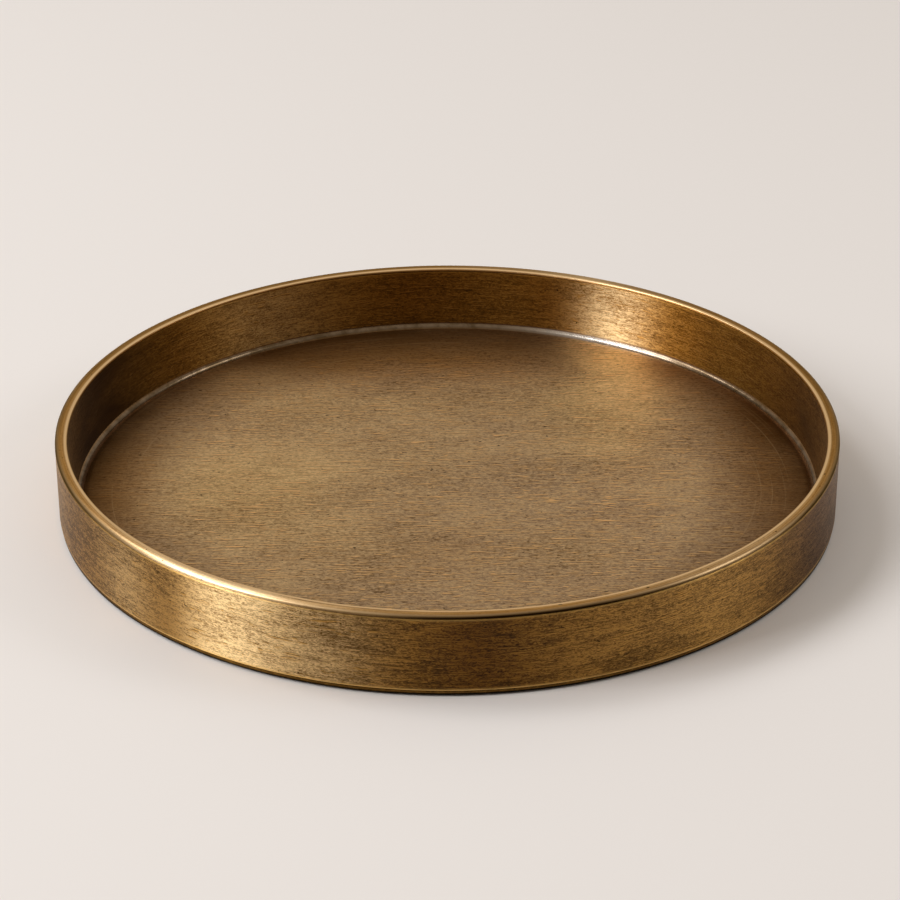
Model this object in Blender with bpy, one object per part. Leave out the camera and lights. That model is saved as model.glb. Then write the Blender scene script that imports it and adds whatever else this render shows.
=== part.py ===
"""A round metal tray with an upright double-skinned wall.

An upright outer band and a slightly tapered inner band make the wall. A flat rim ring caps
both at the top, with a tongue between them, and a channel-shaped foot ring closes them at
the bottom. The floor is a disc let in between, carried on the foot ring's inner leg and
sealed to the inner band with a bead of solder. Four rubber feet hang from the floor and
stand a little lower than the foot ring.

Metres, +Z up. The origin is the centre of the tray on the surface that it stands on.
"""

import math

import bmesh
import bpy

MM = 0.001
FULL_TURN = 2.0 * math.pi

# Overall sizes
TRAY_RADIUS = 150.0 * MM
TRAY_HEIGHT = 32.0 * MM
JOINT_GAP = 0.3 * MM
ROUND_STEPS = 112
CORNER_STEPS = 3
SHARP_ANGLE = math.radians(35.0)

# Floor plate
FLOOR_HEIGHT = 6.0 * MM
FLOOR_THICKNESS = 1.2 * MM
SOLDER_BEVEL_DROP = 0.4 * MM
SOLDER_BEVEL_SHOWING = 0.3 * MM

# Rim ring
RIM_WIDTH = 4.65 * MM
RIM_THICKNESS = 1.0 * MM
RIM_SHOULDER_WIDTH = 1.6 * MM
RIM_SHOULDER_DROP = 0.7 * MM
RIM_INNER_EASE_WIDTH = 0.8 * MM
RIM_INNER_EASE_DROP = 0.5 * MM
RIM_TONGUE_DEPTH = 3.5 * MM

# Outer band
OUTER_BAND_THICKNESS = 1.2 * MM
OUTER_BAND_ARRIS_WIDTH = 0.4 * MM
OUTER_BAND_ARRIS_DROP = 0.6 * MM

# Inner band
INNER_BAND_THICKNESS = 1.0 * MM
INNER_BAND_TAPER = 2.65 * MM
INNER_BAND_ARRIS = 0.3 * MM

# Foot ring
FOOT_RING_LIFT = 0.6 * MM
FOOT_RING_WEB = 1.5 * MM
FOOT_RING_INSET = 0.35 * MM
FOOT_RING_ROUND = 0.7 * MM
OUTER_LEG_THICKNESS = 1.2 * MM
OUTER_LEG_HEIGHT = 5.5 * MM
INNER_LEG_THICKNESS = 1.8 * MM

# Solder bead
BEAD_LEG = 2.0 * MM
BEAD_BULGE = 0.25 * MM
BEAD_RIPPLE = 0.16 * MM
BEAD_FACE_STEPS = 4
BEAD_WAVES = (7, 17, 29)
BEAD_WAVE_SHARES = (0.4, 0.35, 0.25)

# Rubber feet
FOOT_COUNT = 4
FOOT_RADIUS = 9.0 * MM
FOOT_TAPER = 1.0 * MM
FOOT_EDGE_ROUND = 0.8 * MM
FOOT_MARGIN = 9.0 * MM
FOOT_STEPS = 24

# Linear colour, roughness and metallic value of each finish
FINISHES = {
    "aged_brass": ((0.30, 0.19, 0.08), 0.42, 1.0),
    "polished_brass": ((0.52, 0.38, 0.20), 0.30, 1.0),
    "dull_brass": ((0.16, 0.11, 0.06), 0.55, 1.0),
    "grey_solder": ((0.34, 0.31, 0.27), 0.45, 1.0),
    "black_rubber": ((0.03, 0.03, 0.03), 0.80, 0.0),
}

# Places that follow from the sizes
FLOOR_UNDERSIDE = FLOOR_HEIGHT - FLOOR_THICKNESS
RIM_INNER_RADIUS = TRAY_RADIUS - RIM_WIDTH
RIM_UNDERSIDE = TRAY_HEIGHT - RIM_THICKNESS
BAND_TOP = RIM_UNDERSIDE - JOINT_GAP
FOOT_WEB_TOP = FOOT_RING_LIFT + FOOT_RING_WEB
BAND_BOTTOM = FOOT_WEB_TOP + JOINT_GAP
OUTER_BAND_INSIDE = TRAY_RADIUS - OUTER_BAND_THICKNESS
TAPER_PER_HEIGHT = INNER_BAND_TAPER / (BAND_TOP - FLOOR_HEIGHT)


def inner_face_radius(height):
    """Radius of the inner band's visible face, which leans out from the floor to the rim."""
    return RIM_INNER_RADIUS - TAPER_PER_HEIGHT * (BAND_TOP - height)


# Radii that follow from the inner band's taper
FLOOR_RADIUS = inner_face_radius(FLOOR_UNDERSIDE) - JOINT_GAP
INNER_LEG_OUTSIDE = inner_face_radius(BAND_BOTTOM) - JOINT_GAP
INNER_LEG_INSIDE = INNER_LEG_OUTSIDE - INNER_LEG_THICKNESS
BEAD_CORNER_RADIUS = inner_face_radius(FLOOR_HEIGHT) - JOINT_GAP
FLOOR_FLAT_RADIUS = BEAD_CORNER_RADIUS - BEAD_LEG - BEAD_RIPPLE - SOLDER_BEVEL_SHOWING


def remove_objects():
    """Empties the scene."""
    for old in list(bpy.data.objects):
        bpy.data.objects.remove(old, do_unlink=True)


def finish(name):
    """The Principled BSDF material of that name, with one colour and roughness all over."""
    colour, roughness, metallic = FINISHES[name]
    material = bpy.data.materials.new(name)
    material.use_nodes = True
    shader = material.node_tree.nodes["Principled BSDF"]
    shader.inputs["Base Color"].default_value = (*colour, 1.0)
    shader.inputs["Roughness"].default_value = roughness
    shader.inputs["Metallic"].default_value = metallic
    return material


def add_object(name, bm, material):
    """Turns the working mesh into a named object with smooth rounds and crisp edges."""
    bmesh.ops.recalc_face_normals(bm, faces=bm.faces)
    mesh = bpy.data.meshes.new(name)
    bm.to_mesh(mesh)
    bm.free()
    mesh.shade_smooth()
    mesh.set_sharp_from_angle(angle=SHARP_ANGLE)
    mesh.materials.append(material)
    made = bpy.data.objects.new(name, mesh)
    bpy.context.scene.collection.objects.link(made)
    return made


def rounded(corners):
    """Outline of (radius, height) points from corners that may be eased.

    A corner is (radius, height, reach back, reach on): how far the easing runs along the side
    before the corner and along the side after it. The easing is a quarter of an ellipse.
    """
    outline = []
    for index, (radius, height, reach_back, reach_on) in enumerate(corners):
        if reach_back == 0:
            outline.append((radius, height))
            continue
        back = direction((radius, height), corners[index - 1])
        onward = direction((radius, height), corners[(index + 1) % len(corners)])
        for step in range(CORNER_STEPS + 1):
            turn = math.pi / 2.0 * step / CORNER_STEPS
            along_back = reach_back * (1.0 - math.sin(turn))
            along_on = reach_on * (1.0 - math.cos(turn))
            outline.append((
                radius + back[0] * along_back + onward[0] * along_on,
                height + back[1] * along_back + onward[1] * along_on,
            ))
    return outline


def direction(start, end):
    """Unit vector from one corner of an outline to another."""
    length = math.dist(start[:2], end[:2])
    return ((end[0] - start[0]) / length, (end[1] - start[1]) / length)


def turned_ring(name, outline_at, material):
    """A closed ring: the outline that outline_at gives for each angle, carried round the axis."""
    bm = bmesh.new()
    loops = []
    for step in range(ROUND_STEPS):
        angle = FULL_TURN * step / ROUND_STEPS
        loop = []
        for radius, height in outline_at(angle):
            loop.append(bm.verts.new((radius * math.cos(angle), radius * math.sin(angle), height)))
        loops.append(loop)
    for step, loop in enumerate(loops):
        following = loops[(step + 1) % ROUND_STEPS]
        for index, vertex in enumerate(loop):
            after = (index + 1) % len(loop)
            bm.faces.new((vertex, loop[after], following[after], following[index]))
    return add_object(name, bm, material)


def floor_top(radius):
    """Height of the floor's upper face, which is bevelled near its edge to take the solder."""
    bevel_share = (radius - FLOOR_FLAT_RADIUS) / (FLOOR_RADIUS - FLOOR_FLAT_RADIUS)
    return FLOOR_HEIGHT - SOLDER_BEVEL_DROP * max(0.0, bevel_share)


def build_floor_plate(brass):
    """The disc that things stand on: flat, with a shallow bevel under the solder."""
    bm = bmesh.new()
    rings = []
    for radius, height in (
        (FLOOR_FLAT_RADIUS, FLOOR_HEIGHT),
        (FLOOR_RADIUS, floor_top(FLOOR_RADIUS)),
        (FLOOR_RADIUS, FLOOR_UNDERSIDE),
    ):
        circle = bmesh.ops.create_circle(bm, segments=ROUND_STEPS, radius=radius)
        bmesh.ops.translate(bm, verts=circle["verts"], vec=(0.0, 0.0, height))
        rings.append(circle["verts"])
    for upper, lower in zip(rings, rings[1:]):
        edges = [edge for edge in bm.edges if is_within(edge, upper) or is_within(edge, lower)]
        bmesh.ops.bridge_loops(bm, edges=edges)
    bm.faces.new(rings[0])
    bm.faces.new(rings[-1])
    return add_object("floor_plate", bm, brass)


def is_within(edge, vertices):
    """True if both ends of an edge are among the vertices."""
    return all(vertex in vertices for vertex in edge.verts)


def build_rim_ring(brass):
    """The cap of the wall: a flat land between two rounded edges, and a tongue below."""
    tongue_outside = OUTER_BAND_INSIDE - JOINT_GAP
    tongue_inside = RIM_INNER_RADIUS + INNER_BAND_THICKNESS + JOINT_GAP
    tongue_bottom = RIM_UNDERSIDE - RIM_TONGUE_DEPTH
    outline = rounded([
        (TRAY_RADIUS, TRAY_HEIGHT, RIM_SHOULDER_WIDTH, RIM_SHOULDER_DROP),
        (TRAY_RADIUS, RIM_UNDERSIDE, 0, 0),
        (tongue_outside, RIM_UNDERSIDE, 0, 0),
        (tongue_outside, tongue_bottom, 0, 0),
        (tongue_inside, tongue_bottom, 0, 0),
        (tongue_inside, RIM_UNDERSIDE, 0, 0),
        (RIM_INNER_RADIUS, RIM_UNDERSIDE, 0, 0),
        (RIM_INNER_RADIUS, TRAY_HEIGHT, RIM_INNER_EASE_DROP, RIM_INNER_EASE_WIDTH),
    ])
    return turned_ring("rim_ring", lambda angle: outline, brass)


def build_outer_band(brass):
    """The upright outer skin, with its top and bottom edges eased on the outside."""
    outline = rounded([
        (TRAY_RADIUS, BAND_TOP, OUTER_BAND_ARRIS_WIDTH, OUTER_BAND_ARRIS_DROP),
        (TRAY_RADIUS, BAND_BOTTOM, OUTER_BAND_ARRIS_DROP, OUTER_BAND_ARRIS_WIDTH),
        (OUTER_BAND_INSIDE, BAND_BOTTOM, 0, 0),
        (OUTER_BAND_INSIDE, BAND_TOP, 0, 0),
    ])
    return turned_ring("outer_band", lambda angle: outline, brass)


def build_inner_band(brass):
    """The tapered inner skin, which stands in the foot ring's channel."""
    bottom_face = inner_face_radius(BAND_BOTTOM)
    outline = rounded([
        (RIM_INNER_RADIUS + INNER_BAND_THICKNESS, BAND_TOP, 0, 0),
        (bottom_face + INNER_BAND_THICKNESS, BAND_BOTTOM, 0, 0),
        (bottom_face, BAND_BOTTOM, 0, 0),
        (RIM_INNER_RADIUS, BAND_TOP, INNER_BAND_ARRIS, INNER_BAND_ARRIS),
    ])
    return turned_ring("inner_band", lambda angle: outline, brass)


def build_foot_ring(brass):
    """The channel under the wall. Its outer leg centres the outer band, and its inner leg
    centres the inner band and carries the floor plate."""
    outside = TRAY_RADIUS - FOOT_RING_INSET
    leg_outside = OUTER_BAND_INSIDE - JOINT_GAP
    leg_inside = leg_outside - OUTER_LEG_THICKNESS
    leg_top = FOOT_WEB_TOP + OUTER_LEG_HEIGHT
    shelf_top = FLOOR_UNDERSIDE - JOINT_GAP
    outline = rounded([
        (outside, FOOT_WEB_TOP, 0, 0),
        (outside, FOOT_RING_LIFT, FOOT_RING_ROUND, FOOT_RING_ROUND),
        (INNER_LEG_INSIDE, FOOT_RING_LIFT, FOOT_RING_ROUND, FOOT_RING_ROUND),
        (INNER_LEG_INSIDE, shelf_top, 0, 0),
        (INNER_LEG_OUTSIDE, shelf_top, 0, 0),
        (INNER_LEG_OUTSIDE, FOOT_WEB_TOP, 0, 0),
        (leg_inside, FOOT_WEB_TOP, 0, 0),
        (leg_inside, leg_top, 0, 0),
        (leg_outside, leg_top, 0, 0),
        (leg_outside, FOOT_WEB_TOP, 0, 0),
    ])
    return turned_ring("foot_ring", lambda angle: outline, brass)


def bead_swell(angle):
    """How much larger the hand-run bead is at an angle, as a sum of waves."""
    shares = zip(BEAD_WAVES, BEAD_WAVE_SHARES)
    return BEAD_RIPPLE * sum(share * math.sin(waves * angle + waves) for waves, share in shares)


def bead_outline(angle):
    """Section of the solder in the corner: two straight legs and a face that bulges out."""
    leg = BEAD_LEG + bead_swell(angle)
    top_height = FLOOR_HEIGHT + JOINT_GAP + leg
    corner = (BEAD_CORNER_RADIUS, floor_top(BEAD_CORNER_RADIUS) + JOINT_GAP)
    top = (inner_face_radius(top_height) - JOINT_GAP, top_height)
    toe_radius = BEAD_CORNER_RADIUS - leg
    toe = (toe_radius, floor_top(toe_radius) + JOINT_GAP)
    outline = [corner, toe]
    for step in range(1, BEAD_FACE_STEPS):
        share = step / BEAD_FACE_STEPS
        bulge = BEAD_BULGE * math.sin(math.pi * share)
        radius = toe[0] + (top[0] - toe[0]) * share - bulge
        height = toe[1] + (top[1] - toe[1]) * share + bulge
        outline.append((radius, height))
    outline.append(top)
    return outline


def build_solder_bead(solder):
    """The bead that seals the floor to the inner band, slightly uneven as a hand leaves it."""
    return turned_ring("solder_bead", bead_outline, solder)


def build_rubber_feet(rubber):
    """Four tapered feet on the floor's underside, which the tray stands on."""
    circle_radius = INNER_LEG_INSIDE - FOOT_MARGIN - FOOT_RADIUS
    thickness = FLOOR_UNDERSIDE - JOINT_GAP
    for index in range(FOOT_COUNT):
        bm = bmesh.new()
        bmesh.ops.create_cone(
            bm,
            cap_ends=True,
            segments=FOOT_STEPS,
            radius1=FOOT_RADIUS - FOOT_TAPER,
            radius2=FOOT_RADIUS,
            depth=thickness,
        )
        low_edges = [edge for edge in bm.edges if all(vertex.co.z < 0 for vertex in edge.verts)]
        bmesh.ops.bevel(
            bm,
            geom=low_edges,
            offset=FOOT_EDGE_ROUND,
            segments=2,
            profile=0.5,
            affect="EDGES",
        )
        foot = add_object(f"rubber_foot_{index + 1}", bm, rubber)
        angle = FULL_TURN * (index + 0.5) / FOOT_COUNT
        across = circle_radius * math.cos(angle)
        along = circle_radius * math.sin(angle)
        foot.location = (across, along, thickness / 2.0)


def main():
    """Builds the tray from the foot ring up."""
    remove_objects()
    aged_brass = finish("aged_brass")
    build_foot_ring(finish("dull_brass"))
    build_outer_band(aged_brass)
    build_inner_band(aged_brass)
    build_rim_ring(finish("polished_brass"))
    build_floor_plate(aged_brass)
    build_solder_bead(finish("grey_solder"))
    build_rubber_feet(finish("black_rubber"))


main()
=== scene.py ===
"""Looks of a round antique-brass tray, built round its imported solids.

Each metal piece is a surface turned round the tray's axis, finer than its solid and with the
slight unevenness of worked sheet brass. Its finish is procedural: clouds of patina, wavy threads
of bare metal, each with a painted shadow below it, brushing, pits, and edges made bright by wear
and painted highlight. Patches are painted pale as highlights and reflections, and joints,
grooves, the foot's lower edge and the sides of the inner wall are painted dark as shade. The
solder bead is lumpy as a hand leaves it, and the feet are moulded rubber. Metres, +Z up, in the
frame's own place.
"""

import logging
import math
from dataclasses import dataclass
from enum import Enum
from typing import Any

import bpy
import numpy as np
from mathutils import Matrix, Vector


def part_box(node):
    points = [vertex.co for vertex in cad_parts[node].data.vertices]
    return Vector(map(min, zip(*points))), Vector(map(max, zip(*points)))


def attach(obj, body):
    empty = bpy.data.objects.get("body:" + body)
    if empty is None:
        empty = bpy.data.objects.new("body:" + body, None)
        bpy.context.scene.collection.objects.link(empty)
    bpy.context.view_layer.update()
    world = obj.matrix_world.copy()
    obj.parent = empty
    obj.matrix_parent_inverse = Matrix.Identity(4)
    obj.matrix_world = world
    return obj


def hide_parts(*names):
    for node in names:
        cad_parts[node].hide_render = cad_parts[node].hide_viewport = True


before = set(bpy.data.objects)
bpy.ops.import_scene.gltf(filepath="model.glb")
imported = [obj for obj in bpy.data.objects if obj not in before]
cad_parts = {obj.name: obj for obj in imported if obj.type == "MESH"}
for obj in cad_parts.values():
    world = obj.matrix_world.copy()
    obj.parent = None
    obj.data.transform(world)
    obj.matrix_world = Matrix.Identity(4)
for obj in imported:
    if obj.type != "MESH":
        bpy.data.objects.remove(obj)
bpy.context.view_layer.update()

Piece = bpy.types.Object
Socket = bpy.types.NodeSocket
Tree = bpy.types.NodeTree
Way = tuple[float, float, float]
Measure = float | np.ndarray
Poles = tuple[float, ...] | np.ndarray

MM = 0.001
FULL_TURN = 2.0 * math.pi
SHARP_ANGLE = math.radians(40.0)
JOINT_GAP = 0.3 * MM
WAVE_HEIGHTS = (0.3, 1.0)
BODY = "root"
BRUSHING = "brushing"
TURN = "turn"
# Edge wear, with painted highlights on the rim's lip and shoulder and on the arrises; flux on the
# solder, dust on the feet.
WORN_AND_GLINT = "worn_and_glint"
# Soiling and painted shade: joints, the rim's groove, the foot's lower edge and the inner wall's
# sides painted dark; the floor darker towards the wall.
GRIMY_AND_SHADED = "grimy_and_shaded"
# Thin patina and painted light: patches painted as pale bare metal where highlights and
# reflections fall.
RUBBED_AND_HIGHLIGHT = "rubbed_and_highlight"
# Stains and painted shade: a brown tint that also darkens walls and floor where shade falls.
STAINED_AND_SHADED = "stained_and_shaded"
# Socket numbers of the mix node, whose sockets share their names.
AMOUNT, FLOAT_BELOW, FLOAT_ABOVE, COLOUR_BELOW, COLOUR_ABOVE, MIXED_COLOUR = 0, 2, 3, 6, 7, 2
log = logging.getLogger("tray")


def linear(hex_colour: str) -> tuple[float, float, float, float]:
    """Turns an sRGB hex colour into linear values, by the sRGB standard's own numbers.

    Args:
        hex_colour: Six hex digits after a #.

    Returns:
        Linear red, green, blue and an alpha of one.
    """
    shares = [int(hex_colour[start:start + 2], 16) / 255.0 for start in (1, 3, 5)]
    red, green, blue = (
        share / 12.92 if share <= 0.04045 else ((share + 0.055) / 1.055) ** 2.4
        for share in shares
    )
    return red, green, blue, 1.0


def wire(
    tree: Tree,
    node: bpy.types.Node,
    values: dict[str | int, Any],
    links: dict[str | int, Socket],
) -> None:
    """Fills a node's inputs.

    Args:
        tree: The node's tree.
        node: The node.
        values: Values of its input sockets, by name or number.
        links: Output sockets that feed its inputs, by the input's name or number.
    """
    for key, value in values.items():
        node.inputs[key].default_value = value
    for key, socket in links.items():
        tree.links.new(socket, node.inputs[key])


def add_node(
    tree: Tree,
    kind: str,
    settings: dict[str, Any] | None = None,
    values: dict[str | int, Any] | None = None,
    links: dict[str | int, Socket] | None = None,
    stops: tuple[tuple[float, str], ...] = (),
) -> bpy.types.Node:
    """Adds a node with its settings and links.

    Args:
        tree: The node tree that takes the node.
        kind: The node's type.
        settings: Values of the node's own options, by name.
        values: Values of its inputs, as wire takes them.
        links: Sockets that feed its inputs, as wire takes them.
        stops: Positions and colours of a colour ramp, rising.

    Returns:
        The new node.
    """
    node = tree.nodes.new(kind)
    for name, value in (settings or {}).items():
        setattr(node, name, value)
    wire(tree, node, values or {}, links or {})
    if stops:
        elements = node.color_ramp.elements
        for index, (position, colour) in enumerate((stops[0], stops[-1])):
            elements[index].position, elements[index].color = position, linear(colour)
        for position, colour in stops[1:-1]:
            elements.new(position).color = linear(colour)
    return node


class Grain(Enum):
    """Which way a piece was brushed."""

    ALONG_X = "along the X axis"
    ROUND_AXIS = "round the tray's axis"


class Blend(Enum):
    """How a coat's colour joins the colour below it."""

    COVER = "MIX"
    TINT = "MULTIPLY"


@dataclass(frozen=True)
class Face:
    """What a pattern is laid on.

    Its place is in metres. On turned pieces it is the cosine, the sine and the length along the
    outline, and the radius makes cosine and sine a length.
    """

    tree: Tree
    place: Socket
    grain: Grain
    radius: float


@dataclass(frozen=True)
class Pattern:
    """One scale of smooth noise, stretched along the grain.

    Its cell is length by width, so a long thin cell makes streaks.
    """

    length: float
    width: float
    detail: float = 2.0
    distortion: float = 0.0

    def add(self, face: Face, shift: float = 0.0) -> Socket:
        """Adds the pattern's nodes.

        Args:
            face: What it is laid on.
            shift: How far across the grain it is moved.

        Returns:
            The noise value, 0 to 1.
        """
        across = 1.0 / self.width
        if face.grain is Grain.ALONG_X:
            scale = (1.0 / self.length, across, across)
            moved = (0.0, shift * across, 0.0)
        else:
            along = face.radius / self.length
            scale, moved = (along, along, across), (0.0, 0.0, shift * across)
        mapped = add_node(
            face.tree,
            "ShaderNodeMapping",
            values={"Scale": scale, "Location": moved},
            links={"Vector": face.place},
        )
        return add_node(
            face.tree,
            "ShaderNodeTexNoise",
            values={"Scale": 1.0, "Detail": self.detail, "Distortion": self.distortion},
            links={"Vector": mapped.outputs[0]},
        ).outputs[0]


@dataclass(frozen=True)
class Layer:
    """One pattern of the patina, with its share of the tone and of the relief."""

    pattern: Pattern
    tone_share: float
    relief_share: float = 0.0


SHEET_LAYERS = (
    Layer(Pattern(58.0 * MM, 34.0 * MM, detail=4.0, distortion=0.4), 0.30),
    Layer(Pattern(14.0 * MM, 8.0 * MM, detail=3.0, distortion=0.6), 0.08, 0.2),
    Layer(Pattern(5.0 * MM, 1.8 * MM, detail=3.0, distortion=1.0), 0.06, 0.6),
    Layer(Pattern(1.4 * MM, 0.9 * MM, detail=1.0, distortion=0.8), 0.50, 0.9),
    Layer(Pattern(10.0 * MM, 1.2 * MM, detail=2.0, distortion=1.0), 0.16, 0.5),
)
WALL_LAYERS = (
    Layer(Pattern(60.0 * MM, 22.0 * MM, detail=3.0, distortion=0.4), 0.34),
    Layer(Pattern(14.0 * MM, 3.0 * MM, detail=3.0, distortion=0.8), 0.22, 0.2),
    Layer(Pattern(4.0 * MM, 1.4 * MM, detail=1.0, distortion=3.2), 0.34, 1.0),
    Layer(Pattern(1.7 * MM, 0.55 * MM, detail=1.0, distortion=1.6), 0.58, 1.0),
    Layer(Pattern(12.0 * MM, 0.6 * MM, detail=2.0, distortion=1.2), 0.34, 0.5),
)
RIM_LAYERS = (
    Layer(Pattern(60.0 * MM, 28.0 * MM, detail=3.0), 0.3),
    Layer(Pattern(20.0 * MM, 0.9 * MM, detail=3.0, distortion=0.2), 0.25, 0.4),
    Layer(Pattern(80.0 * MM, 0.35 * MM, detail=1.0), 0.35, 0.6),
    Layer(Pattern(1.0 * MM, 0.5 * MM, detail=1.0), 0.15, 0.3),
)
# Which layer's noise makes each attribute's edge uneven, and how strongly.
UNEVEN_EDGES = ((WORN_AND_GLINT, 1, 1.0), (GRIMY_AND_SHADED, 0, 1.5), (RUBBED_AND_HIGHLIGHT, 0, 1.0), (STAINED_AND_SHADED, 0, 0.8))


@dataclass(frozen=True)
class Threads:
    """Short thin lines of bare metal, each with a painted shadow: a dark line just below it.

    A line shows where streaky noise is above a level. Its painted shadow is the same noise, moved
    down by the drop.
    """

    streaks: Pattern = Pattern(16.0 * MM, 1.1 * MM, detail=1.0, distortion=2.8)
    level: float = 0.58
    drop: float = 0.55 * MM
    share: float = 1.0
    shade_share: float = 0.7
    fade: float = 0.08

    def add(self, face: Face) -> tuple[Socket, Socket]:
        """Adds the threads' nodes.

        Args:
            face: What they are laid on.

        Returns:
            How much bare metal shows, and how much of the painted shadow below it.
        """
        band = {"From Min": self.level, "From Max": self.level + self.fade}
        lit, shade = (
            add_node(
                face.tree,
                "ShaderNodeMapRange",
                values={**band, "To Max": share},
                links={"Value": self.streaks.add(face, shift)},
            ).outputs[0]
            for shift, share in ((0.0, self.share), (self.drop, self.shade_share))
        )
        return lit, shade


WALL_THREADS = Threads(
    Pattern(12.0 * MM, 0.8 * MM, detail=1.0, distortion=1.8),
    level=0.62,
    drop=0.35 * MM,
    share=0.7,
)
ARC_THREADS = Threads(Pattern(90.0 * MM, 0.9 * MM, detail=1.0), level=0.64, share=0.3)


@dataclass(frozen=True)
class Cloud:
    """Smooth noise with cells of one size, the same in every direction."""

    size: float
    detail: float
    distortion: float = 0.0

    def add(self, tree: Tree, place: Socket) -> Socket:
        """Adds the noise.

        Args:
            tree: The material's node tree.
            place: Coordinates in metres.

        Returns:
            The noise value, 0 to 1.
        """
        return add_node(
            tree,
            "ShaderNodeTexNoise",
            values={
                "Scale": 1.0 / self.size, "Detail": self.detail, "Distortion": self.distortion
            },
            links={"Vector": place},
        ).outputs[0]


@dataclass(frozen=True)
class Finish:
    """A procedural finish. Each kind adds its own nodes to one Principled surface."""

    name: str
    roughness: float = 0.5
    relief: float = 0.0

    def surface(self, tree: Tree) -> tuple[dict[str, Any], dict[str, Socket], Socket]:
        """Adds the finish's own nodes.

        Args:
            tree: The material's node tree.

        Returns:
            The surface's values, the sockets that feed it and the height of its relief.
        """
        raise NotImplementedError

    def material(self) -> bpy.types.Material:
        """Builds the finish.

        Returns:
            A new material, which reads the piece's attributes or Object coordinates.
        """
        material = bpy.data.materials.new(self.name)
        material.use_nodes = True
        tree = material.node_tree
        values, links, height = self.surface(tree)
        bump = add_node(
            tree,
            "ShaderNodeBump",
            values={"Strength": 1.0, "Distance": self.relief},
            links={"Height": height},
        )
        links = {**links, "Normal": bump.outputs[0]}
        wire(tree, tree.nodes["Principled BSDF"], values, links)
        return material

    def _coated(
        self, tree: Tree, colour: Socket, coats: list[tuple[Socket, str, Blend]]
    ) -> Socket:
        """Lays coats over a colour, one after another.

        Args:
            tree: The material's node tree.
            colour: The colour below them.
            coats: How much of each coat shows, its colour and how it blends.

        Returns:
            The colour socket.
        """
        for amount, target, blend in coats:
            colour = add_node(
                tree,
                "ShaderNodeMix",
                {"data_type": "RGBA", "blend_type": blend.value},
                {COLOUR_ABOVE: linear(target)},
                {AMOUNT: amount, COLOUR_BELOW: colour},
            ).outputs[MIXED_COLOUR]
        return colour


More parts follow.
